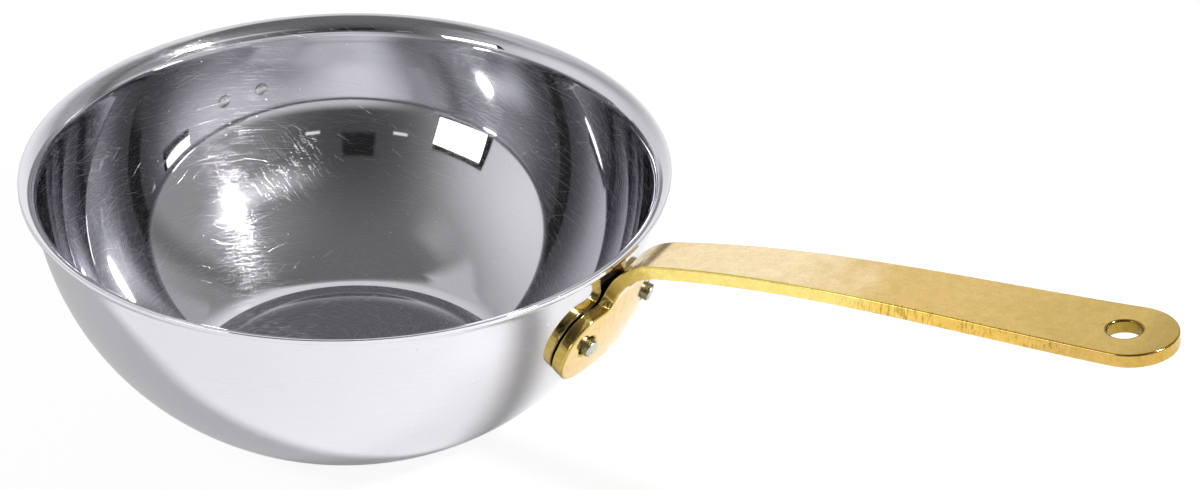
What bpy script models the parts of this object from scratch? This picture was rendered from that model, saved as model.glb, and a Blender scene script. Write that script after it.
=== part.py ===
"""Small steel wok with a riveted brass strap handle, as four separate pieces.

Metres, +Z up. The origin is the centre of the base's underside, and the handle points along +X.
Pieces: bowl, handle, rivet_left and rivet_right.
"""

import math

import bmesh
import bpy
import numpy as np
from mathutils import Matrix, Vector

# Bowl
RIM_RADIUS = 0.0800  # outermost edge of the lip
BOWL_HEIGHT = 0.0620  # underside of the base to the top of the rim
BASE_RADIUS = 0.0355  # flat part of the base
CORNER_RADIUS = 0.0176  # outer radius where the base turns up
SHEET = 0.0012  # thickness of the pressed sheet
WALL_TOP_LEAN = math.radians(4.3)  # lean of the wall from vertical, just under the lip
LIP_BEND_RADIUS = 0.0042  # outer radius of the bend into the lip
LIP_TURN = math.radians(75)  # lean of the lip from vertical at its edge
RIM_EDGE_ROUND = 0.00025  # rounding of the cut edge of the sheet

# Handle
HANDLE_THICKNESS = 0.00335  # brass plate
FLANGE_WIDTH = 0.0424  # end to end, measured round the wall
FLANGE_HEIGHT = 0.0184
FLANGE_DROP = 0.0209  # rim plane down to the middle of the flange
NECK_WIDTH = 0.0133
NECK_FILLET = 0.0026  # inner corner between flange and neck
NECK_DROP = 0.0123  # rim plane down to where the neck starts to bend
NECK_BEND_RADIUS = 0.0174  # upper face of the bend
HANDLE_REACH = 0.2136  # bowl axis to the tip of the handle
GRIP_WIDTH = 0.0217  # diameter of the round end
STRAP_SLOPE_START = math.radians(15.6)  # slope of the strap where the bend ends
STRAP_SLOPE_MIDDLE = math.radians(6.5)
STRAP_SLOPE_END = math.radians(8.2)
HANG_HOLE_RADIUS = 0.0039
HANG_HOLE_INSET = 0.0121  # tip of the handle to the middle of the hole
EDGE_ROUND = 0.00045  # rounding of the plate's edges

# Rivets
RIVET_RADIUS = 0.0022
RIVET_HEAD_RADIUS = 0.0043
RIVET_HEAD_HEIGHT = 0.0018
RIVET_PROUD = 0.0018  # how far the shank stands out of the flange
RIVET_END_ROUND = 0.0006  # rounding round the outer end
RIVET_END_CROWN = 0.00015  # how far the middle of the outer end stands past its rounding
RIVET_INSET = 0.0074  # end of the flange to the middle of the rivet, round the wall
RIVET_DROP = 0.0193  # rim plane down to the rivet, on the wall

# Clearances
PLATE_GAP = 0.0003  # flange to wall
SEAT_GAP = 0.0003  # rivet head to wall
HOLE_CLEARANCE = 0.0003  # rivet shank to its holes, on the radius

# Fineness of the meshes
BOWL_SIDES = 96
CORNER_STEPS = 4
WALL_STEPS = 9
LIP_STEPS = 5
RIVET_SIDES = 24
DOME_STEPS = 5
END_ROUND_STEPS = 3
LOBE_STEPS = 14
FILLET_STEPS = 5
TIP_STEPS = 12
HANG_HOLE_SIDES = 24
PATH_STEPS = 200
FLANGE_CUT = 0.0030  # longest stretch between two cuts along the flange
BEND_CUT = 0.0022
STRAP_CUT = 0.0060
LATERAL_CUT = 0.0036  # the same from side to side
CUT_REACH = 1e-7  # a point this near to a cut lies on it
LEAST_WRAP = 1e-4  # the flat strap keeps this share of the wall's curve

BOWL_STEEL = (0.72, 0.72, 0.76)
HANDLE_BRASS = (0.78, 0.58, 0.25)
RIVET_STEEL = (0.55, 0.55, 0.52)


def arc(centre, radius, start, end, steps):
    """Points of a profile arc, as (r, z). The angle is the surface's slope, from flat (0) to upright."""
    angles = np.linspace(start, end, steps + 1)
    return [
        (centre[0] + radius * math.sin(a), centre[1] - radius * math.cos(a)) for a in angles
    ]


def wall_arc():
    """Outer wall, tangent to corner and lip: centre, radius, first and top slope, and the lip's end slope."""
    top = math.pi / 2 - WALL_TOP_LEAN
    edge = math.pi / 2 - LIP_TURN
    lip_end = RIM_RADIUS - RIM_EDGE_ROUND
    radius_out = lip_end - LIP_BEND_RADIUS * (math.sin(top) - math.sin(edge))
    inner_bend = LIP_BEND_RADIUS + SHEET
    inner_start = radius_out - SHEET * math.sin(top)
    last = math.asin(math.sin(top) - (lip_end - inner_start) / inner_bend)
    inner_top = BOWL_HEIGHT - inner_bend * (math.cos(last) - math.cos(top))
    height = inner_top - SHEET * math.cos(top)
    normal = Vector((math.sin(top), -math.cos(top)))
    span = Vector((radius_out - BASE_RADIUS, height - CORNER_RADIUS))
    radius = (span.length_squared - CORNER_RADIUS**2) / (2 * (span.dot(normal) - CORNER_RADIUS))
    centre = Vector((radius_out, height)) - radius * normal
    reach = Vector((BASE_RADIUS, CORNER_RADIUS)) - centre
    first = math.atan2(reach.x, -reach.y)
    return centre, radius, first, top, last


def bowl_profile():
    """Outline of the sheet in the (r, z) plane: up the outside from the base, then down the inside."""
    centre, radius, first, top, last = wall_arc()
    corner = (BASE_RADIUS, CORNER_RADIUS)
    lip_centre = (
        centre.x + (radius + LIP_BEND_RADIUS) * math.sin(top),
        centre.y - (radius + LIP_BEND_RADIUS) * math.cos(top),
    )
    edge = math.pi / 2 - LIP_TURN
    outside = [(0.0, 0.0)]
    outside += arc(corner, CORNER_RADIUS, 0, first, CORNER_STEPS)
    outside += arc(centre, radius, first, top, WALL_STEPS)[1:]
    outside += arc(lip_centre, -LIP_BEND_RADIUS, top, edge, LIP_STEPS)[1:]
    outside += [(RIM_RADIUS, outside[-1][1] + RIM_EDGE_ROUND)]
    outside += [(RIM_RADIUS, BOWL_HEIGHT - RIM_EDGE_ROUND)]
    inside = arc(lip_centre, -LIP_BEND_RADIUS - SHEET, last, top, LIP_STEPS)
    inside += arc(centre, radius - SHEET, top, first, WALL_STEPS)[1:]
    inside += arc(corner, CORNER_RADIUS - SHEET, first, 0, CORNER_STEPS)[1:]
    inside += [(0.0, SHEET)]
    return outside + inside


def turned(bm, profile, sides):
    """Turn an open (r, z) profile, whose ends lie on the axis, into a closed body."""
    rings = []
    for r, z in profile:
        if r == 0.0:
            rings.append([bm.verts.new((0, 0, z))])
            continue
        ring = []
        for k in range(sides):
            angle = 2 * math.pi * k / sides
            ring.append(bm.verts.new((r * math.cos(angle), r * math.sin(angle), z)))
        rings.append(ring)
    for low, high in zip(rings, rings[1:]):
        for k in range(sides):
            quad = [low[k % len(low)], low[(k + 1) % len(low)]]
            quad += [high[(k + 1) % len(high)], high[k % len(high)]]
            bm.faces.new(list(dict.fromkeys(quad)))


def wall_height_slope(height):
    """Slope of the outer wall at this height."""
    centre, radius, first, top, last = wall_arc()
    return math.acos((centre.y - height) / radius)


def rivet_across():
    """Middle line of the flat blank to each rivet."""
    return FLANGE_WIDTH / 2 - RIVET_INSET


def rivet_places():
    """Where each rivet stands on the outer wall, as {name: (radius, height, slope, turn about Z)}."""
    centre, radius, first, top, last = wall_arc()
    height = BOWL_HEIGHT - RIVET_DROP
    slope = wall_height_slope(height)
    out = centre.x + radius * math.sin(slope)
    turn = rivet_across() / (out + PLATE_GAP * math.sin(slope))
    return {
        "rivet_left": (out, height, slope, -turn),
        "rivet_right": (out, height, slope, turn),
    }


def rivet_matrix(out, height, slope, turn):
    """Stands a piece that points along +Z on the outer wall, square to the sheet."""
    place = Matrix.Translation((out, 0, height))
    lean = Matrix.Rotation(math.pi - slope, 4, "Y")
    return Matrix.Rotation(turn, 4, "Z") @ place @ lean


def material(name, colour, metallic, roughness):
    made = bpy.data.materials.new(name)
    made.use_nodes = True
    shader = made.node_tree.nodes["Principled BSDF"]
    shader.inputs["Base Color"].default_value = (*colour, 1)
    shader.inputs["Metallic"].default_value = metallic
    shader.inputs["Roughness"].default_value = roughness
    return made


def new_object(name, mesh, parent=None, finish=None):
    made = bpy.data.objects.new(name, mesh)
    bpy.context.scene.collection.objects.link(made)
    made.parent = parent
    if finish and not mesh.materials:
        mesh.materials.append(finish)
    return made


def mesh_from(bm, name, sharp=math.radians(30)):
    bmesh.ops.recalc_face_normals(bm, faces=bm.faces)
    if bm.calc_volume(signed=True) < 0:
        bmesh.ops.reverse_faces(bm, faces=bm.faces)
    mesh = bpy.data.meshes.new(name)
    bm.to_mesh(mesh)
    bm.free()
    mesh.shade_smooth()
    mesh.set_sharp_from_angle(angle=sharp)
    return mesh


def rivet_cutter(name, place, parent):
    """A pin that bores the rivet's hole through the wall."""
    bm = bmesh.new()
    reach = 2 * SHEET
    hole = RIVET_RADIUS + HOLE_CLEARANCE
    turned(bm, [(0.0, -reach), (hole, -reach), (hole, reach), (0.0, reach)], RIVET_SIDES)
    cutter = new_object(name, mesh_from(bm, name), parent)
    cutter.matrix_local = rivet_matrix(*place)
    cutter.hide_render = True
    cutter.display_type = "WIRE"
    return cutter


def make_bowl(parent):
    bm = bmesh.new()
    turned(bm, bowl_profile(), BOWL_SIDES)
    steel = material("polished_steel", BOWL_STEEL, 1.0, 0.06)
    bowl = new_object("bowl", mesh_from(bm, "bowl"), parent, steel)
    for name, place in rivet_places().items():
        bore = bowl.modifiers.new(name + "_hole", "BOOLEAN")
        bore.operation = "DIFFERENCE"
        bore.object = rivet_cutter(name + "_cutter", place, parent)
    return bowl


def make_rivets(parent):
    """Domed head inside the bowl, shank through wall and flange, rounded end outside."""
    centre, radius, first, top, last = wall_arc()
    dish = RIVET_HEAD_RADIUS**2 / (2 * (radius - SHEET))
    seat = -SHEET - SEAT_GAP - dish
    end = PLATE_GAP + HANDLE_THICKNESS + RIVET_PROUD
    dome = (RIVET_HEAD_RADIUS**2 + RIVET_HEAD_HEIGHT**2) / (2 * RIVET_HEAD_HEIGHT)
    half = math.asin(RIVET_HEAD_RADIUS / dome)
    crown = seat - RIVET_HEAD_HEIGHT
    profile = arc((0.0, crown + dome), dome, 0, half, DOME_STEPS)
    profile += [(RIVET_RADIUS, seat)]
    round_middle = (RIVET_RADIUS - RIVET_END_ROUND, end - RIVET_END_ROUND)
    profile += arc(round_middle, RIVET_END_ROUND, math.pi / 2, math.pi, END_ROUND_STEPS)
    profile += [(0.0, end + RIVET_END_CROWN)]
    bm = bmesh.new()
    turned(bm, profile, RIVET_SIDES)
    mesh = mesh_from(bm, "rivet")
    steel = material("rivet_steel", RIVET_STEEL, 1.0, 0.25)
    for name, place in rivet_places().items():
        rivet = new_object(name, mesh, parent, steel)
        rivet.matrix_local = rivet_matrix(*place)


def handle_path():
    """The plate's wall-side face, seen from the side, as rows of path length, reach, height and lean."""
    centre, radius, first, top, last = wall_arc()
    face = radius + PLATE_GAP
    low = math.acos((centre.y - (BOWL_HEIGHT - FLANGE_DROP)) / face) - FLANGE_HEIGHT / 2 / face
    high = math.acos((centre.y - (BOWL_HEIGHT - NECK_DROP)) / face)
    rows = []
    for slope in np.linspace(low, high, PATH_STEPS + 1):
        reach = centre.x + face * math.sin(slope)
        height = centre.y - face * math.cos(slope)
        rows.append((face * (slope - low), reach, height, math.pi / 2 - slope))
    length, start, base, lean = rows[-1]
    turn_end = math.pi / 2 - STRAP_SLOPE_START
    for turned_to in np.linspace(lean, turn_end, PATH_STEPS + 1)[1:]:
        reach = start + NECK_BEND_RADIUS * (math.cos(lean) - math.cos(turned_to))
        height = base + NECK_BEND_RADIUS * (math.sin(turned_to) - math.sin(lean))
        rows.append((length + NECK_BEND_RADIUS * (turned_to - lean), reach, height, turned_to))
    bend_end = rows[-1][0]
    step = (HANDLE_REACH - rows[-1][1]) / PATH_STEPS
    for k in range(PATH_STEPS):
        length, reach, height, lean = rows[-1]
        between = strap_slope((k + 0.5) / PATH_STEPS)
        lean = math.pi / 2 - strap_slope((k + 1) / PATH_STEPS)
        length += step / math.cos(between)
        rows.append((length, reach + step, height + step * math.tan(between), lean))
    return np.array(rows), bend_end


def strap_slope(part):
    """Slope of the strap at this share of its run: a smooth curve through its three named slopes."""
    start = STRAP_SLOPE_START * (1 - part) * (1 - 2 * part)
    middle = STRAP_SLOPE_MIDDLE * 4 * part * (1 - part)
    end = STRAP_SLOPE_END * part * (2 * part - 1)
    return start + middle + end


def circle(x, y, radius, start, end, steps):
    angles = np.linspace(start, end, steps + 1)
    return [(x + radius * math.cos(a), y + radius * math.sin(a)) for a in angles]


def blank_outline(bend_end, length):
    """Right-hand half of the flat blank, from the flange's foot to the tip, as (across, along)."""
    end_radius = FLANGE_HEIGHT / 2
    straight = FLANGE_WIDTH / 2 - end_radius
    neck = NECK_WIDTH / 2
    grip = GRIP_WIDTH / 2
    round_middle = length - grip
    taper = math.atan((grip - neck) / (round_middle - bend_end))
    points = circle(straight, end_radius, end_radius, -math.pi / 2, math.pi / 2, LOBE_STEPS)
    corner = (neck + NECK_FILLET, FLANGE_HEIGHT + NECK_FILLET)
    points += circle(*corner, NECK_FILLET, -math.pi / 2, -math.pi, FILLET_STEPS)
    points += [(neck, bend_end)]
    points += circle(0, round_middle, grip, -taper, math.pi / 2, TIP_STEPS)
    return points


def outline_loop(points):
    """Whole outline, anticlockwise, from its right-hand half, which ends on the middle line at the tip."""
    mirrored = [(-x, y) for x, y in reversed(points[:-1])]
    return np.array(points + mirrored)


def moved_in(loop, distance):
    """The loop moved to its left by this distance, which is inwards when it runs anticlockwise."""
    ahead = np.roll(loop, -1, axis=0) - loop
    behind = loop - np.roll(loop, 1, axis=0)
    ahead /= np.linalg.norm(ahead, axis=1, keepdims=True)
    behind /= np.linalg.norm(behind, axis=1, keepdims=True)
    left = np.stack([-(ahead + behind)[:, 1], (ahead + behind)[:, 0]], axis=1)
    left /= np.linalg.norm(left, axis=1, keepdims=True)
    stretch = 1 / np.sqrt((1 + (ahead * behind).sum(axis=1)) / 2)
    return loop + left * (distance * stretch)[:, None]


def edge_rings():
    """How far in and how deep each ring of the rounded edge lies, from one face to the other."""
    cut = 1 - math.sqrt(0.5)
    near = [(EDGE_ROUND, 0.0), (EDGE_ROUND * cut, EDGE_ROUND * cut), (0.0, EDGE_ROUND)]
    far = [(inset, HANDLE_THICKNESS - depth) for inset, depth in reversed(near)]
    return near + far


def flat_blank(bend_end, length, rivet_holes):
    """The blank before it is bent, with rounded edges: x across, y along, z through the plate."""
    bm = bmesh.new()
    loops = [outline_loop(blank_outline(bend_end, length))]
    holes = [circle(0, length - HANG_HOLE_INSET, HANG_HOLE_RADIUS, 2 * math.pi, 0, HANG_HOLE_SIDES)]
    for x, y in rivet_holes:
        holes.append(circle(x, y, RIVET_RADIUS + HOLE_CLEARANCE, 2 * math.pi, 0, RIVET_SIDES))
    loops += [np.array(hole[:-1]) for hole in holes]
    faces = ([], [])
    for loop in loops:
        rings = []
        for inset, depth in edge_rings():
            ring = moved_in(loop, inset)
            rings.append([bm.verts.new((x, y, depth)) for x, y in ring])
        for low, high in zip(rings, rings[1:]):
            for k in range(len(low)):
                after = (k + 1) % len(low)
                bm.faces.new((low[k], low[after], high[after], high[k]))
        for ring, edges in ((rings[0], faces[0]), (rings[-1], faces[1])):
            for k in range(len(ring)):
                edges.append(bm.edges.get((ring[k], ring[(k + 1) % len(ring)])))
    for edges in faces:
        bmesh.ops.triangle_fill(bm, use_beauty=True, edges=edges)
    return bm


def cut_across(bm, place, direction, limit=None):
    """Cut the flat blank along a line, so that it can bend there."""
    faces = bm.faces[:]
    if limit is not None:
        faces = [f for f in faces if max(v.co.y for v in f.verts) < limit + CUT_REACH]
    parts = list({e for f in faces for e in f.edges}) + faces
    bmesh.ops.bisect_plane(bm, geom=parts, dist=CUT_REACH, plane_co=place, plane_no=direction)


def spaced(start, end, step):
    count = max(1, round((end - start) / step))
    return [start + (end - start) * k / count for k in range(count + 1)]


def make_handle(parent):
    path, bend_end = handle_path()
    length = path[-1, 0]
    flat_end = FLANGE_HEIGHT + NECK_FILLET
    centre, radius, first, top, last = wall_arc()
    face = radius + PLATE_GAP
    out, height, slope, turn = rivet_places()["rivet_right"]
    along = face * (slope - (math.pi / 2 - path[0, 3]))
    bm = flat_blank(bend_end, length, [(rivet_across(), along), (-rivet_across(), along)])
    cuts = spaced(0, flat_end, FLANGE_CUT) + spaced(flat_end, bend_end, BEND_CUT)[1:]
    cuts += spaced(bend_end, length, STRAP_CUT)[1:-1]
    for along in cuts[1:]:
        cut_across(bm, (0, along, 0), (0, 1, 0))
    for across in spaced(-FLANGE_WIDTH / 2, FLANGE_WIDTH / 2, LATERAL_CUT)[1:-1]:
        cut_across(bm, (across, 0, 0), (1, 0, 0), bend_end)
    bmesh.ops.triangulate(bm, faces=bm.faces)
    for vert in bm.verts:
        vert.co = bent(vert.co, path, flat_end, bend_end)
    brass = material("brass", HANDLE_BRASS, 1.0, 0.3)
    return new_object("handle", mesh_from(bm, "handle"), parent, brass)


def bent(point, path, flat_end, bend_end):
    """Where a point of the blank lies once it is bent: the flange wraps the wall, the strap is flat."""
    across, along, depth = point
    reach, height, lean = (np.interp(along, path[:, 0], path[:, k]) for k in (1, 2, 3))
    wrap = 1 - min(max((along - flat_end) / (bend_end - flat_end), 0), 1)
    curve = max(wrap, LEAST_WRAP) / reach
    turn = across * curve
    place = Vector((reach - (1 - math.cos(turn)) / curve, math.sin(turn) / curve, height))
    outwards = Matrix.Rotation(turn, 3, "Z") @ Vector((math.cos(lean), 0, -math.sin(lean)))
    return place + outwards * depth


def main():
    for old in list(bpy.data.objects):
        bpy.data.objects.remove(old, do_unlink=True)
    wok = new_object("wok", None)
    make_bowl(wok)
    make_handle(wok)
    make_rivets(wok)


main()
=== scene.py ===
import math

import bmesh
import bpy
import numpy as np
from mathutils import Matrix, Vector


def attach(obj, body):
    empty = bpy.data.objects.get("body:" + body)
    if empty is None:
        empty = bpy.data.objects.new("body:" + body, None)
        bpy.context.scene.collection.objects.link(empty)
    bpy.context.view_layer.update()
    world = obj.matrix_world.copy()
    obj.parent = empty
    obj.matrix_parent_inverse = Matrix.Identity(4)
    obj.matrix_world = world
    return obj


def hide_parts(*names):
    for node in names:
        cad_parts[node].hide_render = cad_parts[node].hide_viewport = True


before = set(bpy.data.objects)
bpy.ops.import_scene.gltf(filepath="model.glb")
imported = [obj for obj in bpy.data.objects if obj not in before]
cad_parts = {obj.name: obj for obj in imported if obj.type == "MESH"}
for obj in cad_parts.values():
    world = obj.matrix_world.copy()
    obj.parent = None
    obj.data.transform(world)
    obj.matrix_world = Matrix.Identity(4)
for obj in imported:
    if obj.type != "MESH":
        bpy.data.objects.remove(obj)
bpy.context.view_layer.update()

scene = bpy.context.scene

# The part's own sizes, in metres, as its source names them
RIM_RADIUS = 0.0800
BOWL_HEIGHT = 0.0620
BASE_RADIUS = 0.0355
CORNER_RADIUS = 0.0176
SHEET = 0.0012
WALL_TOP_LEAN = math.radians(4.3)
LIP_BEND_RADIUS = 0.0042
LIP_TURN = math.radians(75)
RIM_EDGE_ROUND = 0.00025

HANDLE_THICKNESS = 0.00335
FLANGE_WIDTH = 0.0424
FLANGE_HEIGHT = 0.0184
FLANGE_DROP = 0.0209
NECK_WIDTH = 0.0133
NECK_FILLET = 0.0026
NECK_DROP = 0.0123
NECK_BEND_RADIUS = 0.0174
HANDLE_REACH = 0.2136
GRIP_WIDTH = 0.0217
STRAP_SLOPE_START = math.radians(15.6)
STRAP_SLOPE_MIDDLE = math.radians(6.5)
STRAP_SLOPE_END = math.radians(8.2)
HANG_HOLE_RADIUS = 0.0039
HANG_HOLE_INSET = 0.0121
EDGE_ROUND = 0.00045

RIVET_RADIUS = 0.0022
RIVET_HEAD_RADIUS = 0.0043
RIVET_HEAD_HEIGHT = 0.0018
RIVET_PROUD = 0.0018
RIVET_END_ROUND = 0.0006
RIVET_END_CROWN = 0.00015
RIVET_INSET = 0.0074
RIVET_DROP = 0.0193

PLATE_GAP = 0.0003
SEAT_GAP = 0.0003
HOLE_CLEARANCE = 0.0003

# Fineness of the bowl
BOWL_SIDES = 384
BASE_STEPS = 6
CORNER_STEPS = 16
WALL_STEPS = 48
LIP_STEPS = 14
RIM_ROUND_STEPS = 3

# Fineness of the handle
PATH_STEPS = 400
EDGE_STEPS = 5
LOBE_STEPS = 40
FILLET_STEPS = 14
TIP_STEPS = 36
HANG_HOLE_SIDES = 64
RIVET_HOLE_SIDES = 48

# Cuts across the flat blank are about this far apart along its parts, and from side to side
FLANGE_CUT = 0.0015
BEND_CUT = 0.0009
STRAP_CUT = 0.0028
LATERAL_CUT = 0.0018
CUT_REACH = 1e-7  # a point this near to a cut lies on it
LEAST_WRAP = 1e-4  # share of the bowl's curve that the flat strap keeps

# Fineness of the rivets
RIVET_SIDES = 64
DOME_STEPS = 14
END_ROUND_STEPS = 8

# Width of the narrow faces that keep the shading of the faces beside an edge even
SUPPORT = 0.00012
HEAD_SUPPORT = 0.0001
SHANK_SUPPORT = 0.0002

# The camera, fitted to the photograph
HANDLE_TURN = math.radians(28.5)
FOCAL_PX = 3200.0
IMAGE_WIDTH = 1200.0
SENSOR_WIDTH = 36.0
CAMERA_ELEVATION = math.radians(31.52)
CAMERA_ROLL = math.radians(1.20)

# The rim's middle as the camera sees it: how far to the right, up and ahead
RIM_MIDDLE = (-0.7791 * RIM_RADIUS, 0.2538 * RIM_RADIUS, 9.8435 * RIM_RADIUS)


# Profile of the bowl


def circle(x, y, radius, start, end, steps):
    """Points on an arc, with angles from the first axis towards the second."""
    angles = np.linspace(start, end, steps + 1)
    return [(x + radius * math.cos(a), y + radius * math.sin(a)) for a in angles]


def arc(centre, radius, start, end, steps):
    """Points on an arc, with angles from straight down towards the outside."""
    angles = np.linspace(start, end, steps + 1)
    return [(centre[0] + radius * math.sin(a), centre[1] - radius * math.cos(a)) for a in angles]


def wall_arc():
    """The outer wall's arc: its middle and radius, and the angles at its foot and top.

    The last angle is where the inside of the lip ends.
    """
    top = math.pi / 2 - WALL_TOP_LEAN
    edge = math.pi / 2 - LIP_TURN
    lip_end = RIM_RADIUS - RIM_EDGE_ROUND
    radius_out = lip_end - LIP_BEND_RADIUS * (math.sin(top) - math.sin(edge))
    inner_bend = LIP_BEND_RADIUS + SHEET
    inner_start = radius_out - SHEET * math.sin(top)
    last = math.asin(math.sin(top) - (lip_end - inner_start) / inner_bend)
    inner_top = BOWL_HEIGHT - inner_bend * (math.cos(last) - math.cos(top))
    height = inner_top - SHEET * math.cos(top)
    normal = Vector((math.sin(top), -math.cos(top)))
    span = Vector((radius_out - BASE_RADIUS, height - CORNER_RADIUS))
    radius = (span.length_squared - CORNER_RADIUS**2) / (2 * (span.dot(normal) - CORNER_RADIUS))
    centre = Vector((radius_out, height)) - radius * normal
    reach = Vector((BASE_RADIUS, CORNER_RADIUS)) - centre
    first = math.atan2(reach.x, -reach.y)
    return centre, radius, first, top, last


WALL_CENTRE, WALL_RADIUS, WALL_FIRST, WALL_TOP, LIP_LAST = wall_arc()


def bowl_profile():
    """Outside from the base's middle to the rim, then inside from the rim back to the middle."""
    corner = (BASE_RADIUS, CORNER_RADIUS)
    reach = WALL_RADIUS + LIP_BEND_RADIUS
    lip_centre = (
        WALL_CENTRE.x + reach * math.sin(WALL_TOP),
        WALL_CENTRE.y - reach * math.cos(WALL_TOP),
    )
    edge = math.pi / 2 - LIP_TURN
    flat = [k * BASE_RADIUS / BASE_STEPS for k in range(BASE_STEPS)]
    outside = [(r, 0.0) for r in flat]
    outside += arc(corner, CORNER_RADIUS, 0, WALL_FIRST, CORNER_STEPS)
    outside += arc(WALL_CENTRE, WALL_RADIUS, WALL_FIRST, WALL_TOP, WALL_STEPS)[1:]
    outside += arc(lip_centre, -LIP_BEND_RADIUS, WALL_TOP, edge, LIP_STEPS)[1:]
    low = outside[-1][1] + RIM_EDGE_ROUND
    high = BOWL_HEIGHT - RIM_EDGE_ROUND
    middle = RIM_RADIUS - RIM_EDGE_ROUND
    outside += circle(middle, low, RIM_EDGE_ROUND, -math.pi / 2, 0, RIM_ROUND_STEPS)[1:]
    outside += circle(middle, high, RIM_EDGE_ROUND, 0, math.pi / 2, RIM_ROUND_STEPS)[:-1]
    inside = arc(lip_centre, -LIP_BEND_RADIUS - SHEET, LIP_LAST, WALL_TOP, LIP_STEPS)
    inside += arc(WALL_CENTRE, WALL_RADIUS - SHEET, WALL_TOP, WALL_FIRST, WALL_STEPS)[1:]
    inside += arc(corner, CORNER_RADIUS - SHEET, WALL_FIRST, 0, CORNER_STEPS)[1:]
    inside += [(r, SHEET) for r in reversed(flat)]
    return outside + inside


def turned(bm, profile, sides):
    """Turn a profile of radius and height about Z."""
    rings = []
    for r, z in profile:
        if r == 0.0:
            rings.append([bm.verts.new((0, 0, z))])
            continue
        ring = []
        for k in range(sides):
            angle = 2 * math.pi * k / sides
            ring.append(bm.verts.new((r * math.cos(angle), r * math.sin(angle), z)))
        rings.append(ring)
    for low, high in zip(rings, rings[1:]):
        for k in range(sides):
            quad = [low[k % len(low)], low[(k + 1) % len(low)]]
            quad += [high[(k + 1) % len(high)], high[k % len(high)]]
            bm.faces.new(list(dict.fromkeys(quad)))


def new_object(name, bm, materials):
    mesh = bpy.data.meshes.new(name)
    bm.to_mesh(mesh)
    bm.free()
    for made in materials:
        mesh.materials.append(made)
    obj = bpy.data.objects.new(name, mesh)
    scene.collection.objects.link(obj)
    return obj


def piece(name, bm, node, materials):
    """A visible piece that takes the place of this CAD node."""
    bmesh.ops.recalc_face_normals(bm, faces=bm.faces)
    if bm.calc_volume(signed=True) < 0:
        bmesh.ops.reverse_faces(bm, faces=bm.faces)
    obj = new_object(name, bm, materials)
    obj.data.shade_smooth()
    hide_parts(node)
    return obj


# Nodes for the materials

NOISE_RANGE = (0.3, 0.7)  # nearly all of a noise lies between these


class Tree:
    """Short hand for a node tree."""

    def __init__(self, tree):
        self.tree = tree

    def feed(self, socket, value):
        """Link the socket to another one, or set its value."""
        if isinstance(value, bpy.types.NodeSocket):
            self.tree.links.new(value, socket)
        else:
            socket.default_value = value

    def node(self, kind, inputs=(), **settings):
        made = self.tree.nodes.new(kind)
        for key, value in settings.items():
            setattr(made, key, value)
        for key, value in dict(inputs).items():
            self.feed(made.inputs[key], value)
        return made

    def math(self, operation, *values):
        made = self.node("ShaderNodeMath", dict(enumerate(values)), operation=operation)
        return made.outputs[0]

    def plus(self, a, b):
        return self.math("ADD", a, b)

    def minus(self, a, b):
        return self.math("SUBTRACT", a, b)

    def times(self, a, b):
        return self.math("MULTIPLY", a, b)

    def vector(self, operation, *values):
        made = self.node("ShaderNodeVectorMath", dict(enumerate(values)), operation=operation)
        return made.outputs["Value" if operation in ("DOT_PRODUCT", "LENGTH") else "Vector"]

    def scaled(self, vector, factor):
        inputs = {"Vector": vector, "Scale": factor}
        return self.node("ShaderNodeVectorMath", inputs, operation="SCALE").outputs["Vector"]

    def xyz(self, x, y, z):
        return self.node("ShaderNodeCombineXYZ", {"X": x, "Y": y, "Z": z}).outputs[0]

    def parts(self, vector):
        return self.node("ShaderNodeSeparateXYZ", {0: vector}).outputs

    def place(self):
        return self.node("ShaderNodeTexCoord").outputs["Object"]

    def normal(self):
        return self.node("ShaderNodeNewGeometry").outputs["Normal"]

    def ramp(self, value, low, high, start=0.0, end=1.0, smooth=True):
        """Start where the value is low and end where it is high, smooth or straight between."""
        inputs = {"Value": value, "From Min": low, "From Max": high, "To Min": start, "To Max": end}
        kind = "SMOOTHSTEP" if smooth else "LINEAR"
        return self.node("ShaderNodeMapRange", inputs, interpolation_type=kind).outputs["Result"]

    def between(self, share, start, end):
        return self.ramp(share, 0.0, 1.0, start, end, smooth=False)

    def spread(self, noise, start, end):
        return self.ramp(noise, *NOISE_RANGE, start, end)

    def blend(self, factor, a, b):
        """Colour a where the factor is 0, colour b where it is 1."""
        return self.node("ShaderNodeMix", {0: factor, 6: a, 7: b}, data_type="RGBA").outputs[2]

    def blend_value(self, factor, a, b):
        return self.node("ShaderNodeMix", {0: factor, 2: a, 3: b}, data_type="FLOAT").outputs[0]

    def blend_vector(self, factor, a, b):
        keep = self.scaled(a, self.minus(1.0, factor))
        return self.vector("ADD", keep, self.scaled(b, factor))

    def noise(self, place, scale, detail, roughness):
        inputs = {"Vector": place, "Scale": scale, "Detail": detail, "Roughness": roughness}
        return self.node("ShaderNodeTexNoise", inputs).outputs[0]

    def cells(self, place, scale):
        """Distance to the nearest of many random points."""
        inputs = {"Vector": place, "Scale": scale}
        return self.node("ShaderNodeTexVoronoi", inputs).outputs["Distance"]

    def bump(self, height, strength, distance):
        inputs = {"Height": height, "Strength": strength, "Distance": distance}
        return self.node("ShaderNodeBump", inputs).outputs[0]


def new_material(name, **sockets):
    made = bpy.data.materials.new(name)
    made.use_nodes = True
    shader = made.node_tree.nodes["Principled BSDF"]
    for key, value in sockets.items():
        shader.inputs[key.replace("_", " ")].default_value = value
    return made, shader, Tree(made.node_tree)


# Polished steel

WALL_RISE = 1.3  # length up the bowl is the radius plus the height times this
MEAN_RADIUS = 0.06  # length round the bowl is measured at this radius

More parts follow.
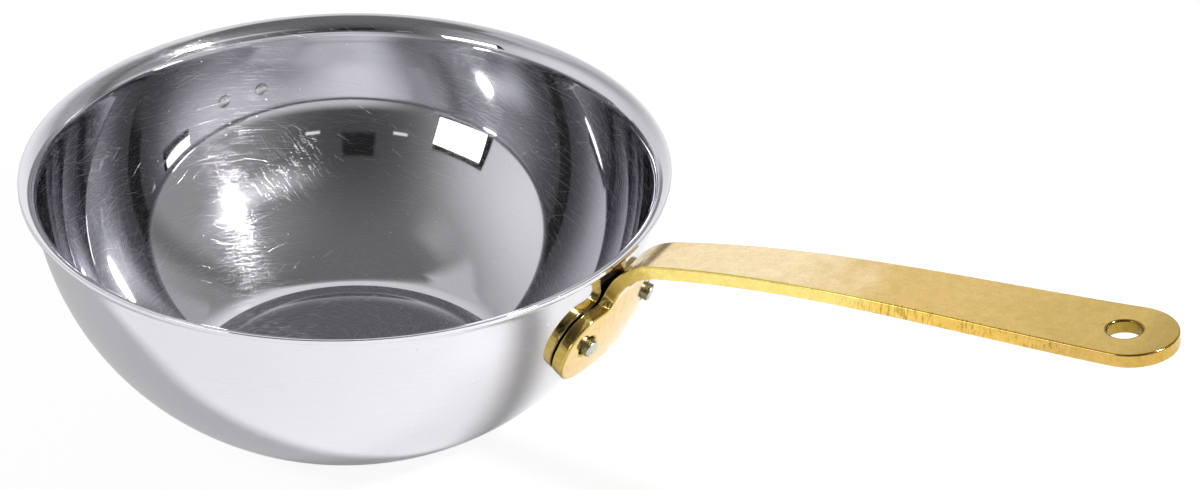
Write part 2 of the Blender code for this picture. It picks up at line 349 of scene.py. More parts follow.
# The mirror between the marks. Every noise is scale, detail and roughness.
STEEL_ANISOTROPY = 0.95
STEEL_CLOUD = (45.0, 4.0, 0.6)
STEEL_CLOUD_RANGE = (0.35, 0.75)
STEEL_ROUGHNESS = (0.018, 0.032)
STEEL_COLOURS = ((0.76, 0.757, 0.80, 1), (0.73, 0.727, 0.77, 1))

# The finest marks, in rows that are shifted by up to this many lengths
MARK_WIDTH = 0.00001
MARK_LENGTH = 0.003
ROW_SHIFT = 7.0

# Rings from the polishing wheel, fewer of them high on the wall
WHEEL_SLANT = -0.28
WHEEL_SHARE = (0.028, 0.010)
WHEEL_SHARE_RANGE = (0.060, 0.100)
WHEEL_ROUGHNESS = (0.32, 0.36)
RING_NOISE = (2200.0, 3.0, 0.7)
RING_SHARE = (0.5, 1.5)  # from ring to ring, the share is multiplied by this

# A patch inside that was rubbed at a slant
PATCH_ACROSS = (0.40, 0.83, 0.38)
PATCH_ALONG = (-0.64, 0.084, 0.764)
PATCH_TURN = (-2.95, -11.0, -2.77)  # change of the direction along it, per metre of Y
PATCH_START = 0.0347  # that change is counted from this Y
PATCH_SHARE = 0.011
PATCH_ROUGHNESS = (0.32, 0.38)
PATCH_MIDDLE = (-0.0476, 0.0430, 0.0248)
PATCH_REACH = 0.012

# Fine wear in every direction
HAZE_SHARE = 0.012
HAZE_ROUGHNESS = 0.22

# Slant, width, length, share and roughness of each family of scratches that can be seen one by one
SCRATCHES = (
    (0.0, 0.00004, 0.010, 0.0012, 0.30),
    (0.3, 0.00004, 0.008, 0.0010, 0.30),
    (-0.3, 0.00004, 0.009, 0.0014, 0.30),
    (-0.65, 0.00004, 0.008, 0.0012, 0.30),
    (-1.3, 0.00004, 0.007, 0.0012, 0.30),
    (0.9, 0.00004, 0.007, 0.0008, 0.30),
)

# Slow waves that pressing left in the sheet
WAVE_HEIGHT = 0.000005
WAVE_SPREAD = (120.0, 120.0, 30.0)
WAVE_NOISE = (1.0, 1.5, 0.4)

# Specks of dust
DUST_RADIUS = 0.00014
DUST_SCALE = 260.0
DUST_ROUGHNESS = 0.6
DUST_COLOUR = (0.95, 0.95, 0.95, 1)


def grain(t, across, along, width, length, share):
    """Long thin cells: where a random share of them is marked, and a random depth for each."""
    row = t.math("FLOOR", t.times(across, 1 / width))
    shift = t.node("ShaderNodeTexWhiteNoise", {"W": row}, noise_dimensions="1D").outputs["Value"]
    step = t.plus(t.times(along, 1 / length), t.times(shift, ROW_SHIFT))
    cell = t.xyz(row, t.math("FLOOR", step), 0.0)
    cast = t.node("ShaderNodeTexWhiteNoise", {"Vector": cell}, noise_dimensions="2D").outputs
    depth = t.node("ShaderNodeSeparateColor", {0: cast["Color"]}).outputs[0]
    return t.math("LESS_THAN", cast["Value"], share), depth


def polished_steel(name):
    """A mirror with fine rings from the polishing wheel and stray scratches across them.

    Highlights are stretched along the tangent, so each mark's tangent lies across the mark.
    """
    made, shader, t = new_material(name, Metallic=1.0, Anisotropic=STEEL_ANISOTROPY)
    place, normal = t.place(), t.normal()
    parts = t.parts(place)
    flat = t.xyz(parts["X"], parts["Y"], 0.0)
    round_wall = t.vector("NORMALIZE", t.xyz(t.times(parts["Y"], -1.0), parts["X"], 0.0))
    up_wall = t.vector("CROSS_PRODUCT", normal, round_wall)
    rising = t.vector("ADD", t.vector("NORMALIZE", flat), (0.0, 0.0, WALL_RISE))
    up_wall = t.scaled(up_wall, t.math("SIGN", t.vector("DOT_PRODUCT", up_wall, rising)))
    up = t.plus(t.vector("LENGTH", flat), t.times(parts["Z"], WALL_RISE))
    around = t.times(t.math("ARCTAN2", parts["Y"], parts["X"]), MEAN_RADIUS)
    cloud = t.noise(place, *STEEL_CLOUD)
    roughness = t.ramp(cloud, *STEEL_CLOUD_RANGE, *STEEL_ROUGHNESS)

    across = t.plus(up, t.times(around, WHEEL_SLANT))
    ring = t.noise(t.xyz(across, 0.0, 0.0), *RING_NOISE)
    share = t.ramp(up, *WHEEL_SHARE_RANGE, *WHEEL_SHARE)
    share = t.times(t.spread(ring, *RING_SHARE), share)
    on, depth = grain(t, across, around, MARK_WIDTH, MARK_LENGTH, share)
    roughness = t.blend_value(on, roughness, t.between(depth, *WHEEL_ROUGHNESS))
    tangent = t.vector("ADD", up_wall, t.scaled(round_wall, WHEEL_SLANT))

    across = t.vector("DOT_PRODUCT", place, PATCH_ACROSS)
    along = t.vector("DOT_PRODUCT", place, PATCH_ALONG)
    on, depth = grain(t, across, along, MARK_WIDTH, MARK_LENGTH, PATCH_SHARE)
    away = t.vector("LENGTH", t.vector("SUBTRACT", place, PATCH_MIDDLE))
    on = t.times(on, t.math("LESS_THAN", away, PATCH_REACH))
    roughness = t.blend_value(on, roughness, t.between(depth, *PATCH_ROUGHNESS))
    turning = t.scaled(PATCH_TURN, t.minus(parts["Y"], PATCH_START))
    rubbed = t.vector("ADD", PATCH_ALONG, turning)
    tangent = t.blend_vector(on, tangent, t.vector("CROSS_PRODUCT", normal, rubbed))

    on, depth = grain(t, up, around, MARK_WIDTH, MARK_WIDTH, HAZE_SHARE)
    roughness = t.blend_value(on, roughness, HAZE_ROUGHNESS)
    angle = t.times(depth, math.pi)
    any_way = t.scaled(up_wall, t.math("COSINE", angle))
    any_way = t.vector("ADD", any_way, t.scaled(round_wall, t.math("SINE", angle)))
    tangent = t.blend_vector(on, tangent, any_way)

    for slant, width, length, share, dull in SCRATCHES:
        across = t.plus(up, t.times(around, slant))
        along = t.minus(around, t.times(up, slant))
        on = grain(t, across, along, width, length, share)[0]
        roughness = t.blend_value(on, roughness, dull)
        slanted = t.vector("ADD", up_wall, t.scaled(round_wall, slant))
        tangent = t.blend_vector(on, tangent, slanted)

    dust = t.math("LESS_THAN", t.cells(place, DUST_SCALE), DUST_RADIUS * DUST_SCALE)
    wave = t.noise(t.vector("MULTIPLY", place, WAVE_SPREAD), *WAVE_NOISE)
    base = t.blend(cloud, *STEEL_COLOURS)
    t.feed(shader.inputs["Base Color"], t.blend(dust, base, DUST_COLOUR))
    t.feed(shader.inputs["Roughness"], t.blend_value(dust, roughness, DUST_ROUGHNESS))
    t.feed(shader.inputs["Tangent"], tangent)
    t.feed(shader.inputs["Normal"], t.bump(wave, 1.0, WAVE_HEIGHT))
    return made


# Brass

# On the flange, near the bowl, along the strap and at its end. Paler near the bowl is a painted
# highlight, darker at the end a painted dark reflection, and the sides' bright yellow near the
# bowl a painted reflection of the floor
BRASS_FACE_WITH_PAINTED_LIGHT = (
    (0.85, 0.63, 0.28, 1),
    (0.93, 0.745, 0.45, 1),
    (0.72, 0.495, 0.17, 1),
    (0.59, 0.415, 0.12, 1),
)
BRASS_SIDE_WITH_PAINTED_LIGHT = (
    (0.58, 0.42, 0.11, 1),
    (0.96, 0.76, 0.24, 1),
    (0.83, 0.54, 0.12, 1),
    (0.63, 0.41, 0.115, 1),
)

# From where to where each of these gives way to the next, and how far a noise shifts that
BRASS_FACE_TURNS = ((0.084, 0.094), (0.118, 0.152), (0.155, 0.200))
BRASS_SIDE_TURNS = ((0.083, 0.094), (0.130, 0.162), (0.162, 0.195))
TURN_SHIFT = 0.045

BRASS_CLOUD = (90.0, 5.0, 0.65)
BRASS_BLOTCH = (420.0, 3.0, 0.6)
BRASS_SPECK = (1500.0, 2.0, 0.7)

# Rows of four numbers are from where to where something changes, and its level before and after
TIP_SHADE = (0.202, 0.213, 1.0, 0.76)
TIP_SHIFT = 0.006
BLOTCH_SHADE = (0.94, 1.04)
SPECK_SHADE = (0.3, 0.75, 1.03, 0.93)
BLUE_POWER = 1.6  # the blue follows this power of the shade
BLOTCH_HEIGHT = 2.0  # against the specks' height

# Faces: pits, and the roughness near the bowl and farther out
PIT_SCALE = 260.0
PIT_SHADE = (0.03, 0.07, 0.45, 0.0)
FACE_ROUGHNESS = (0.095, 0.150, 0.10, 0.20)
FACE_ROUGHNESS_CLOUD = (-0.01, 0.04)
FACE_BUMP = 0.04

# Sides: the shear's marks along the strap, painted shade in the hole, and smoother edges
SHEAR_SPREAD = (2100.0, 500.0, 420.0)
SHEAR_NOISE = (1.0, 2.0, 0.5)
SHEAR_DEPTH = (0.52, 0.68, 0.0, 0.40)
SHEAR_START = (0.13, 0.15)
SHEAR_END = (0.185, 0.20, 1.0, 0.2)
HOLE_MIDDLE = HANDLE_REACH - 0.0120
HOLE_SHADE = (0.0050, 0.0056, 0.5, 1.0)
EDGE_TILT = (0.25, 0.45)
EDGE_ROUGHNESS = 0.08
SIDE_ROUGHNESS = (0.086, 0.096, 0.32, 0.20)
SIDE_ROUGHNESS_CLOUD = (0.0, 0.08)
SIDE_BUMP = (0.12, 0.02)
BRASS_BUMP_DISTANCE = 0.0002


def brass(name, side):
    """Brass, paler near the bowl with a painted highlight, and darker towards the end with a
    painted dark reflection.
    """
    made, shader, t = new_material(name, Metallic=1.0)
    place = t.place()
    parts = t.parts(place)
    cloud = t.noise(place, *BRASS_CLOUD)
    blotch = t.noise(place, *BRASS_BLOTCH)
    speck = t.noise(place, *BRASS_SPECK)
    uneven = t.minus(cloud, 0.5)
    reach = t.plus(parts["X"], t.times(uneven, TURN_SHIFT))
    # paler near the bowl: painted highlight; darker at the end: painted dark reflection
    colours = BRASS_SIDE_WITH_PAINTED_LIGHT if side else BRASS_FACE_WITH_PAINTED_LIGHT
    base = colours[0]
    for turn, colour in zip(BRASS_SIDE_TURNS if side else BRASS_FACE_TURNS, colours[1:]):
        base = t.blend(t.ramp(reach, *turn), base, colour)
    shade = t.ramp(t.plus(parts["X"], t.times(uneven, TIP_SHIFT)), *TIP_SHADE)
    shade = t.times(shade, t.spread(blotch, *BLOTCH_SHADE))
    shade = t.times(shade, t.ramp(speck, *SPECK_SHADE))
    if side:
        marks = t.noise(t.vector("MULTIPLY", place, SHEAR_SPREAD), *SHEAR_NOISE)
        marks = t.times(t.ramp(marks, *SHEAR_DEPTH), t.ramp(parts["X"], *SHEAR_START))
        marks = t.times(marks, t.ramp(parts["X"], *SHEAR_END))
        shade = t.times(shade, t.minus(1.0, marks))
        # painted shade inside the hang hole
        away = t.vector("LENGTH", t.xyz(t.minus(parts["X"], HOLE_MIDDLE), parts["Y"], 0.0))
        shade = t.times(shade, t.ramp(away, *HOLE_SHADE))
        edge = t.ramp(t.math("ABSOLUTE", t.parts(t.normal())["Z"]), *EDGE_TILT)
        brushed = t.ramp(parts["X"], *SIDE_ROUGHNESS)
        brushed = t.plus(brushed, t.spread(cloud, *SIDE_ROUGHNESS_CLOUD))
        roughness = t.blend_value(edge, brushed, EDGE_ROUGHNESS)
        strength = t.ramp(edge, 0.0, 1.0, *SIDE_BUMP)
    else:
        shade = t.times(shade, t.minus(1.0, t.ramp(t.cells(place, PIT_SCALE), *PIT_SHADE)))
        worn = t.ramp(reach, *FACE_ROUGHNESS)
        roughness = t.plus(worn, t.spread(cloud, *FACE_ROUGHNESS_CLOUD))
        strength = FACE_BUMP
    shades = t.xyz(shade, shade, t.math("POWER", shade, BLUE_POWER))
    height = t.plus(speck, t.times(blotch, BLOTCH_HEIGHT))
    t.feed(shader.inputs["Base Color"], t.vector("MULTIPLY", base, shades))
    t.feed(shader.inputs["Roughness"], roughness)
    t.feed(shader.inputs["Normal"], t.bump(height, strength, BRASS_BUMP_DISTANCE))
    return made


# Rivet steel

# The two colours of the end outside, of the head inside, made lighter as painted light,
# and of the shank, darkened as painted shade
RIVET_OUTSIDE = ((0.70, 0.68, 0.61, 1), (0.44, 0.43, 0.36, 1))
RIVET_INSIDE_PAINTED_LIGHT = ((0.92, 0.90, 0.86, 1), (0.74, 0.72, 0.68, 1))
RIVET_SHANK_PAINTED_SHADE = ((0.30, 0.28, 0.18, 1), (0.12, 0.11, 0.07, 1))

RIVET_CLOUD = (900.0, 4.0, 0.65)
SHANK_TILT = (0.25, 0.55, 1.0, 0.0)
RIVET_ROUGHNESS = (0.16, 0.34)
RIVET_DULLER_INSIDE = 0.08
RIVET_BUMP = (0.2, 0.0003)  # strength and distance


def rivet_metal(name, axis):
    """Grey steel, with painted shade on the shank, where the normal turns away from the rivet's
    axis.
    """
    made, shader, t = new_material(name, Metallic=1.0)
    cloud = t.noise(t.place(), *RIVET_CLOUD)
    tilt = t.vector("DOT_PRODUCT", t.normal(), axis)
    shank = t.ramp(t.math("ABSOLUTE", tilt), *SHANK_TILT)
    inside = t.math("LESS_THAN", tilt, 0.0)
    # the head inside is lighter than the end outside: painted light
    end_and_head = t.blend(inside, t.blend(cloud, *RIVET_OUTSIDE), t.blend(cloud, *RIVET_INSIDE_PAINTED_LIGHT))
    roughness = t.plus(t.spread(cloud, *RIVET_ROUGHNESS), t.times(inside, RIVET_DULLER_INSIDE))
    # the shank's dark colour is painted shade
    t.feed(shader.inputs["Base Color"], t.blend(shank, end_and_head, t.blend(cloud, *RIVET_SHANK_PAINTED_SHADE)))
    t.feed(shader.inputs["Roughness"], roughness)
    t.feed(shader.inputs["Normal"], t.bump(cloud, *RIVET_BUMP))
    return made


# Rivets


def rivet_across():
    """How far each rivet is from the middle line of the flat blank."""
    return FLANGE_WIDTH / 2 - RIVET_INSET


def rivet_places():
    """Where each rivet stands on the outer wall: radius, height, slope and turn about Z."""
    height = BOWL_HEIGHT - RIVET_DROP
    slope = math.acos((WALL_CENTRE.y - height) / WALL_RADIUS)
    out = WALL_CENTRE.x + WALL_RADIUS * math.sin(slope)
    turn = rivet_across() / (out + PLATE_GAP * math.sin(slope))
    return {"rivet_left": (out, height, slope, -turn), "rivet_right": (out, height, slope, turn)}


def rivet_matrix(out, height, slope, turn):
    place = Matrix.Translation((out, 0, height))
    lean = Matrix.Rotation(math.pi - slope, 4, "Y")
    return Matrix.Rotation(turn, 4, "Z") @ place @ lean


def rivet_profile():
    """Radius and height above the wall's outside: domed head in the bowl, shank, round end."""
    curve_depth = RIVET_HEAD_RADIUS**2 / (2 * (WALL_RADIUS - SHEET))
    seat = -SHEET - SEAT_GAP - curve_depth
    end = PLATE_GAP + HANDLE_THICKNESS + RIVET_PROUD
    dome = (RIVET_HEAD_RADIUS**2 + RIVET_HEAD_HEIGHT**2) / (2 * RIVET_HEAD_HEIGHT)
    half = math.asin(RIVET_HEAD_RADIUS / dome)
    crown = seat - RIVET_HEAD_HEIGHT
    round_middle = (RIVET_RADIUS - RIVET_END_ROUND, end - RIVET_END_ROUND)
    profile = [(0.0, crown)]
    profile += arc((0.0, crown + dome), dome, 0, half, DOME_STEPS)[1:]
    profile += [(RIVET_HEAD_RADIUS - HEAD_SUPPORT, seat), (RIVET_RADIUS + HEAD_SUPPORT, seat)]
    profile += [(RIVET_RADIUS, seat + HEAD_SUPPORT)]
    profile += [(RIVET_RADIUS, end - RIVET_END_ROUND - SHANK_SUPPORT)]
    profile += arc(round_middle, RIVET_END_ROUND, math.pi / 2, math.pi, END_ROUND_STEPS)
    profile += [(0.0, end + RIVET_END_CROWN)]
    return profile


def make_rivets():
    slope = rivet_places()["rivet_right"][2]
    metal = rivet_metal("rivet_metal", (math.sin(slope), 0.0, -math.cos(slope)))
    made = []
    for name, place in rivet_places().items():
        bm = bmesh.new()
        turned(bm, rivet_profile(), RIVET_SIDES)
        bm.transform(rivet_matrix(*place))
        made.append(piece(name + "_shape", bm, name, [metal]))
    return made


# Handle: a flat blank with rounded edges, cut across finely and then bent along its path


def strap_slope(part):
    """Slope of the strap, for the part of the way from the neck's bend to the tip."""
    start = STRAP_SLOPE_START * (1 - part) * (1 - 2 * part)
    middle = STRAP_SLOPE_MIDDLE * 4 * part * (1 - part)
    end = STRAP_SLOPE_END * part * (2 * part - 1)
    return start + middle + end


def handle_path():
    """Path of the plate's face on the bowl's side, and the length along it where the bend ends.

    Its rows are the length, the reach from the bowl's axis, the height and the lean.
    """
    face = WALL_RADIUS + PLATE_GAP
    low = math.acos((WALL_CENTRE.y - (BOWL_HEIGHT - FLANGE_DROP)) / face)
    low -= FLANGE_HEIGHT / 2 / face
    high = math.acos((WALL_CENTRE.y - (BOWL_HEIGHT - NECK_DROP)) / face)
    rows = []
    for slope in np.linspace(low, high, PATH_STEPS + 1):
        reach = WALL_CENTRE.x + face * math.sin(slope)
        height = WALL_CENTRE.y - face * math.cos(slope)
        rows.append((face * (slope - low), reach, height, math.pi / 2 - slope))
    length, start, base, lean = rows[-1]
    turn_end = math.pi / 2 - STRAP_SLOPE_START
    for turned_to in np.linspace(lean, turn_end, PATH_STEPS + 1)[1:]:
        reach = start + NECK_BEND_RADIUS * (math.cos(lean) - math.cos(turned_to))
        height = base + NECK_BEND_RADIUS * (math.sin(turned_to) - math.sin(lean))
        rows.append((length + NECK_BEND_RADIUS * (turned_to - lean), reach, height, turned_to))
    bend_end = rows[-1][0]
    step = (HANDLE_REACH - rows[-1][1]) / PATH_STEPS
    for k in range(PATH_STEPS):
        length, reach, height, lean = rows[-1]
        between = strap_slope((k + 0.5) / PATH_STEPS)
        lean = math.pi / 2 - strap_slope((k + 1) / PATH_STEPS)
        length += step / math.cos(between)
        rows.append((length, reach + step, height + step * math.tan(between), lean))
    return np.array(rows), bend_end


def outline(bend_end, length):
    """The blank's outline, from the foot of the flange up the right side and down the left."""
    end_radius = FLANGE_HEIGHT / 2
    straight = FLANGE_WIDTH / 2 - end_radius
    neck = NECK_WIDTH / 2
    grip = GRIP_WIDTH / 2
    round_middle = length - grip
    taper = math.atan((grip - neck) / (round_middle - bend_end))
    points = circle(straight, end_radius, end_radius, -math.pi / 2, math.pi / 2, LOBE_STEPS)
    corner = (neck + NECK_FILLET, FLANGE_HEIGHT + NECK_FILLET)
    points += circle(*corner, NECK_FILLET, -math.pi / 2, -math.pi, FILLET_STEPS)
    points += [(neck, bend_end)]
    points += circle(0, round_middle, grip, -taper, math.pi / 2, TIP_STEPS)
    mirrored = [(-x, y) for x, y in reversed(points[:-1])]
    return np.array(points + mirrored)


def moved_in(loop, distance):
    """The loop moved to the left of its own direction."""
    ahead = np.roll(loop, -1, axis=0) - loop
    behind = loop - np.roll(loop, 1, axis=0)
    ahead /= np.linalg.norm(ahead, axis=1, keepdims=True)
    behind /= np.linalg.norm(behind, axis=1, keepdims=True)
    left = np.stack([-(ahead + behind)[:, 1], (ahead + behind)[:, 0]], axis=1)
    left /= np.linalg.norm(left, axis=1, keepdims=True)
    stretch = 1 / np.sqrt((1 + (ahead * behind).sum(axis=1)) / 2)
    return loop + left * (distance * stretch)[:, None]


def edge_rings():
    """Inset and depth of each ring over the plate's rounded edges, from one face to the other."""
    near = [(EDGE_ROUND + SUPPORT, 0.0)]
    for a in np.linspace(0, math.pi / 2, EDGE_STEPS + 1):
        near.append((EDGE_ROUND * (1 - math.sin(a)), EDGE_ROUND * (1 - math.cos(a))))
    near.append((0.0, EDGE_ROUND + SUPPORT))
    far = [(inset, HANDLE_THICKNESS - depth) for inset, depth in reversed(near)]
    return near + far


def flat_blank(bend_end, length, rivet_holes):
    """The blank with its holes, before it is bent. Its sides have the second material."""
    bm = bmesh.new()
    full_turn = 2 * math.pi
    middle = length - HANG_HOLE_INSET
    holes = [circle(0, middle, HANG_HOLE_RADIUS, full_turn, 0, HANG_HOLE_SIDES)]
    for x, y in rivet_holes:
        holes.append(circle(x, y, RIVET_RADIUS + HOLE_CLEARANCE, full_turn, 0, RIVET_HOLE_SIDES))
    loops = [outline(bend_end, length)] + [np.array(hole[:-1]) for hole in holes]
    faces = ([], [])
    for loop in loops:
        rings = []
        for inset, depth in edge_rings():
            ring = moved_in(loop, inset)
            rings.append([bm.verts.new((x, y, depth)) for x, y in ring])
        for low, high in zip(rings, rings[1:]):
            for k in range(len(low)):
                after = (k + 1) % len(low)
                face = bm.faces.new((low[k], low[after], high[after], high[k]))
                face.material_index = 1
        for ring, edges in ((rings[0], faces[0]), (rings[-1], faces[1])):
            for k in range(len(ring)):
                edges.append(bm.edges.get((ring[k], ring[(k + 1) % len(ring)])))
    for edges in faces:
        bmesh.ops.triangle_fill(bm, use_beauty=True, edges=edges)
    return bm


def cut_across(bm, place, direction, limit=None):
    """Cut the faces on a plane, only those up to the limit if there is one."""
    faces = bm.faces[:]
    if limit is not None:
        faces = [f for f in faces if max(v.co.y for v in f.verts) < limit + CUT_REACH]
    cut = list({e for f in faces for e in f.edges}) + faces
    bmesh.ops.bisect_plane(bm, geom=cut, dist=CUT_REACH, plane_co=place, plane_no=direction)


def spaced(start, end, step):
    count = max(1, round((end - start) / step))
    return [start + (end - start) * k / count for k in range(count + 1)]


def bent(point, path, flat_end, bend_end):
    """Where a point of the flat blank comes to lie.

    The curve round the bowl fades out over the neck's bend.
    """
    across, along, depth = point
    reach, height, lean = (np.interp(along, path[:, 0], path[:, k]) for k in (1, 2, 3))
    wrap = 1 - min(max((along - flat_end) / (bend_end - flat_end), 0), 1)
    curve = max(wrap, LEAST_WRAP) / reach
    turn = across * curve
    place = Vector((reach - (1 - math.cos(turn)) / curve, math.sin(turn) / curve, height))
    outwards = Matrix.Rotation(turn, 3, "Z") @ Vector((math.cos(lean), 0, -math.sin(lean)))
    return place + outwards * depth


def make_handle():
    path, bend_end = handle_path()
    length = path[-1, 0]
    flat_end = FLANGE_HEIGHT + NECK_FILLET
    slope = rivet_places()["rivet_right"][2]
    along = (WALL_RADIUS + PLATE_GAP) * (slope - (math.pi / 2 - path[0, 3]))
    bm = flat_blank(bend_end, length, [(rivet_across(), along), (-rivet_across(), along)])
    cuts = spaced(0, flat_end, FLANGE_CUT) + spaced(flat_end, bend_end, BEND_CUT)[1:]
    cuts += spaced(bend_end, length, STRAP_CUT)[1:-1]
    for at in cuts[1:]:
        cut_across(bm, (0, at, 0), (0, 1, 0))
    for across in spaced(-FLANGE_WIDTH / 2, FLANGE_WIDTH / 2, LATERAL_CUT)[1:-1]:
        cut_across(bm, (across, 0, 0), (1, 0, 0), bend_end)
    bmesh.ops.triangulate(bm, faces=bm.faces)
    for vert in bm.verts:
        vert.co = bent(vert.co, path, flat_end, bend_end)
    finishes = [brass("brass_face", False), brass("brass_side", True)]
    return piece("handle_shape", bm, "handle", finishes)


def make_bowl():
    bm = bmesh.new()
    turned(bm, bowl_profile(), BOWL_SIDES)
    return piece("bowl_shape", bm, "bowl", [polished_steel("steel_polished")])


for shape in [make_bowl(), make_handle()] + make_rivets():
    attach(shape, "root")


# Camera


def place_camera():
    ce, se = math.cos(CAMERA_ELEVATION), math.sin(CAMERA_ELEVATION)
    flat_right = Vector((1, 0, 0))
    flat_up = Vector((0, se, ce))
    ahead = Vector((0, ce, -se))
    c, s = math.cos(CAMERA_ROLL), math.sin(CAMERA_ROLL)
    right = c * flat_right + s * flat_up
    up = -s * flat_right + c * flat_up
    x, y, z = RIM_MIDDLE
    place = -(x * right + y * up + z * ahead)
    turn = Matrix.Rotation(HANDLE_TURN, 3, "Z")
    right, up, ahead, place = (turn @ v for v in (right, up, ahead, place))
    place.z += BOWL_HEIGHT
    data = bpy.data.cameras.new("camera")
    data.sensor_fit = "HORIZONTAL"
    data.sensor_width = SENSOR_WIDTH
    data.lens = SENSOR_WIDTH * FOCAL_PX / IMAGE_WIDTH
    camera = bpy.data.objects.new("camera", data)
    scene.collection.objects.link(camera)
    basis = Matrix((right, up, -ahead)).transposed().to_4x4()
    camera.matrix_world = Matrix.Translation(place) @ basis
    scene.camera = camera


# Studio. Directions are in degrees: for the camera, azimuth 0 is straight behind the object and
# 90 is to its right, and elevation 0 is level.

# Lamps: shape, azimuth, elevation, distance, size and radiance
KEY = ("DISK", 111.5, 40, 0.95, (0.146, 0.146), 450.0)
KEY_SPILL = ("DISK", 111.5, 41.5, 0.95, (0.146, 0.146), 250.0)
FILL = ("DISK", -85, 20, 1.5, (0.4, 0.4), 36.0)
SOFTBOX = ("RECTANGLE", -136, 17.5, 1.2, (0.44, 0.24), 5.0)
LAMP_TARGET = Vector((0, 0, 0.04))

# Glint: place on the floor, azimuth, elevation, distance, width and energy
GLINT = ((0.108, -0.038, 0.0), 178, 50, 0.5, 0.046, 1.8)
GLINT_SOURCE = 0.01

# Soft patches of light and dark that the steel mirrors, each over the ones before it
PANELS = [
    # azimuth, half width, softness, elevation, half height, softness, level
    (-6, 120, 59, 5, 26, 19, 0.64),
    (-93, 39, 39, 17, 27, 25, 0.85),
    (4, 33, 30, 33, 34, 3, 1.05),
    (-18, 34, 34, 56, 12, 8, 0.76),
    (-72, 23, 8, 58, 8.5, 2, 0.58),
    (96, 43, 43, 32, 29, 14, 0.34),
    (127, 26, 17, 38, 4, 4, 0.85),
    (178, 30, 30, 23, 26, 26, 0.07),
    (136, 57, 17, 0, 11, 2, 0.66),
    (50, 7, 5, 13, 30, 1, 0.45),
    (76, 6, 6, 26, 29, 1, 0.20),
    (-119, 13, 13, 53, 6, 3, 0.38),
    (8, 40, 8, 2, 8.5, 1.5, 0.28),
    (-136, 12, 0.5, 17.5, 7.2, 0.5, 0.02),
    (180, 7, 1, 27, 5, 1, 0.02),
    (161, 3, 0.5, 21.3, 0.6, 0.3, 0.9),
    (-162.5, 3, 0.5, 21.3, 0.6, 0.3, 0.9),
]
CEILING = 0.17  # level where there is no patch
WHITE = 1.0
HORIZON = 1.0  # the world turns white from this elevation to as much below level

# Floor, and how much of it glows for each kind of ray
FLOOR_RADII = (0.0, 0.3, 4.0)
FLOOR_DEPTH = 0.0001
FLOOR_SIDES = 64
FLOOR_COLOUR = (0.65, 0.65, 0.65, 1)
FLOOR_GLOW = 1.1
GLOW_DIFFUSE = 0.05
GLOW_MIRRORED = 0.15
GLOW_CAMERA = 0.82


def sky_direction(azimuth, elevation):
    a = math.radians(azimuth)
    e = math.radians(elevation)
    flat = Vector((math.sin(a) * math.cos(e), math.cos(a) * math.cos(e), math.sin(e)))
    return Matrix.Rotation(HANDLE_TURN, 3, "Z") @ flat


def place_light(name, data, aim, target, distance):
    """Put a light this far from its target in the direction of the aim, turned to the target."""
    obj = bpy.data.objects.new(name, data)
    scene.collection.objects.link(obj)
    obj.location = target + aim * distance
    obj.rotation_euler = aim.to_track_quat("Z", "Y").to_euler()
    return obj


def lamp(name, shape, azimuth, elevation, distance, size, radiance):
    data = bpy.data.lights.new(name, "AREA")
    data.shape = shape
    data.size, data.size_y = size
    area = size[0] * size[1] * (math.pi / 4 if shape == "DISK" else 1)
    data.energy = radiance * math.pi * area
    return place_light(name, data, sky_direction(azimuth, elevation), LAMP_TARGET, distance)


def glint(name, target, azimuth, elevation, distance, width, energy):
    """Light that the bowl throws back on the floor beside the handle."""
    data = bpy.data.lights.new(name, "SPOT")
    data.energy = energy
    data.spot_size = 2 * math.atan(width / 2 / distance)
    data.spot_blend = 1.0
    data.shadow_soft_size = GLINT_SOURCE
    aim = sky_direction(azimuth, elevation)
    obj = place_light(name, data, aim, Vector(target), distance)
    obj.visible_camera = False
    obj.visible_glossy = False


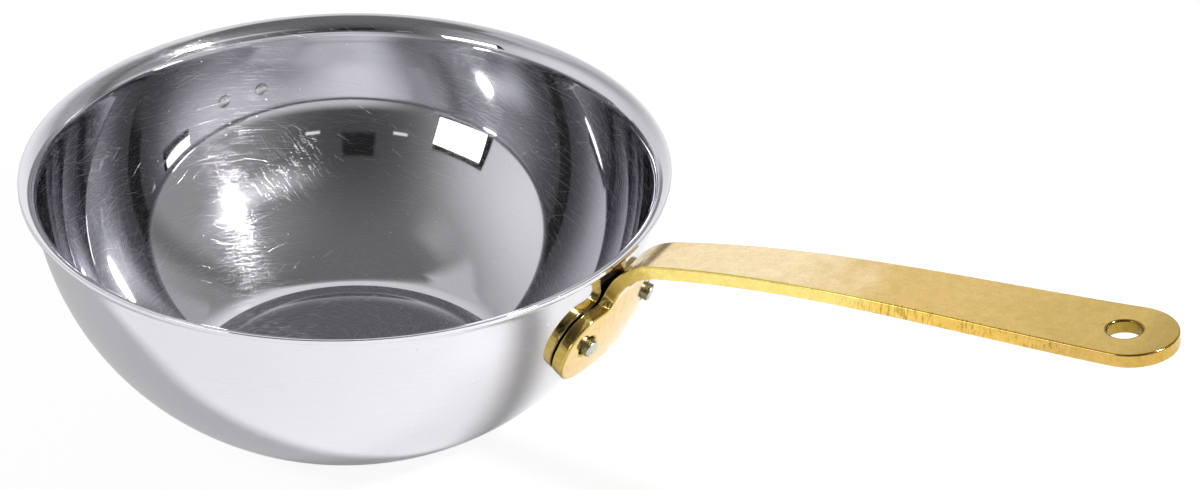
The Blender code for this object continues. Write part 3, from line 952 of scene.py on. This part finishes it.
def studio():
    """What the steel mirrors above the horizon. Below it, and for the camera, all is white."""
    world = bpy.data.worlds.new("studio")
    scene.world = world
    world.use_nodes = True
    world.node_tree.nodes.clear()
    t = Tree(world.node_tree)
    parts = t.parts(t.node("ShaderNodeTexCoord").outputs["Generated"])
    azimuth = t.math("DEGREES", t.math("ARCTAN2", parts["X"], parts["Y"]))
    azimuth = t.plus(azimuth, math.degrees(HANDLE_TURN))
    elevation = t.math("DEGREES", t.math("ARCSINE", parts["Z"]))
    level = CEILING
    for az, half, soft, el, tall, blur, value in PANELS:
        off = t.math("WRAP", t.minus(azimuth, az), 180.0, -180.0)
        side = t.ramp(t.math("ABSOLUTE", off), half - soft, half + soft, 1.0, 0.0)
        rise = t.math("ABSOLUTE", t.minus(elevation, el))
        rise = t.ramp(rise, tall - blur, tall + blur, 1.0, 0.0)
        level = t.blend_value(t.times(side, rise), level, value)
    below = t.ramp(elevation, -HORIZON, HORIZON, 1.0, 0.0)
    level = t.blend_value(below, level, WHITE)
    path = t.node("ShaderNodeLightPath").outputs
    level = t.blend_value(path["Is Camera Ray"], level, WHITE)
    light = t.node("ShaderNodeBackground", {"Color": t.xyz(level, level, level), "Strength": 1.0})
    t.node("ShaderNodeOutputWorld", {"Surface": light.outputs[0]})


def make_floor():
    made = bpy.data.materials.new("floor")
    made.use_nodes = True
    made.node_tree.nodes.clear()
    t = Tree(made.node_tree)
    lit = t.node("ShaderNodeBsdfDiffuse", {"Color": FLOOR_COLOUR})
    glow = t.node("ShaderNodeEmission", {"Color": (1, 1, 1, 1), "Strength": FLOOR_GLOW})
    path = t.node("ShaderNodeLightPath").outputs
    mirrored = t.math("MAXIMUM", path["Is Glossy Ray"], path["Is Transmission Ray"])
    share = t.blend_value(mirrored, GLOW_DIFFUSE, GLOW_MIRRORED)
    share = t.blend_value(path["Is Camera Ray"], share, GLOW_CAMERA)
    mix = t.node("ShaderNodeMixShader", {0: share, 1: lit.outputs[0], 2: glow.outputs[0]})
    t.node("ShaderNodeOutputMaterial", {"Surface": mix.outputs[0]})
    bm = bmesh.new()
    turned(bm, [(radius, -FLOOR_DEPTH) for radius in FLOOR_RADII], FLOOR_SIDES)
    floor = new_object("floor", bm, [made])


place_camera()
studio()
make_floor()
lamp("key", *KEY).visible_diffuse = False
lamp("key_spill", *KEY_SPILL).visible_glossy = False
lamp("fill", *FILL).visible_glossy = False
glint("glint", *GLINT)
lamp("softbox", *SOFTBOX)

scene.view_settings.view_transform = "Standard"
